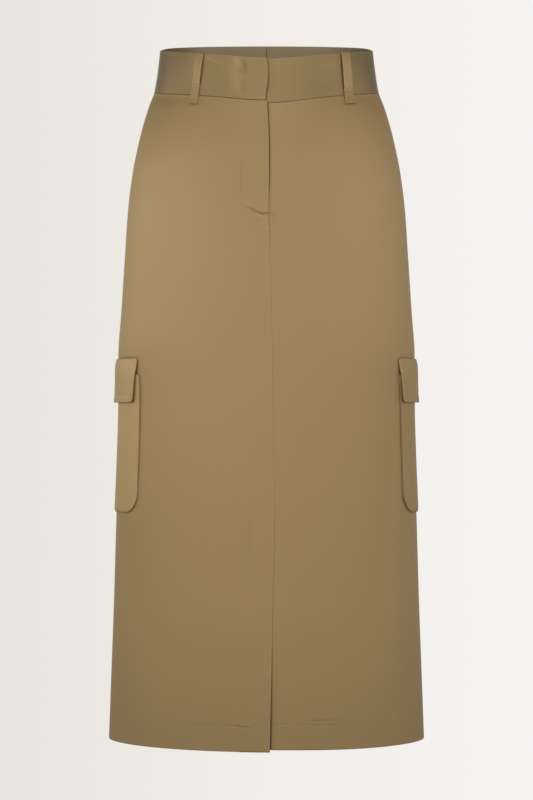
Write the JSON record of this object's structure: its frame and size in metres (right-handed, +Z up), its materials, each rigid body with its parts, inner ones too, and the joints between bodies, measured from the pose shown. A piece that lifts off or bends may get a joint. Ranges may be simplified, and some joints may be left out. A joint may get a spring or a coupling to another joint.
{
  "type": "cargo utility skirt",
  "caption": "Straight midi skirt in satin twill with a shaped waistband, belt loops, fly front, front vent and a flapped cargo pocket on each side, worn and hollow.",
  "frame": {"origin": "middle of the waist opening at the middle height of the waistband at the side seams, where the wearer holds the skirt up", "axes": "+Z up, -Y to the wearer's front, +X to the wearer's left"},
  "size_m": [0.4096, 0.2822, 0.9123],
  "materials": {
    "satin": "khaki satin twill with a soft sheen",
    "band_satin": "khaki satin twill, interlined and pressed",
    "zip_tape": "woven zip tape with a nylon coil",
    "metal": "plated steel, satin"
  },
  "bodies": {
    "root": {"front_right": "satin", "front_left": "satin", "back_right": "satin", "back_left": "satin", "pocket_right": "satin", "pocket_left": "satin", "pocket_gusset_right": "satin", "pocket_gusset_left": "satin", "flap_right": "satin", "flap_left": "satin", "waistband_right": "band_satin", "waistband_left": "band_satin", "belt_loop_front_right": "satin", "belt_loop_front_left": "satin", "belt_loop_side_right": "satin", "belt_loop_side_left": "satin", "belt_loop_back": "satin", "fly_facing": "satin", "zip": "zip_tape", "zip_slider": "metal", "waist_hook": "metal"}
  },
  "joints": []
}
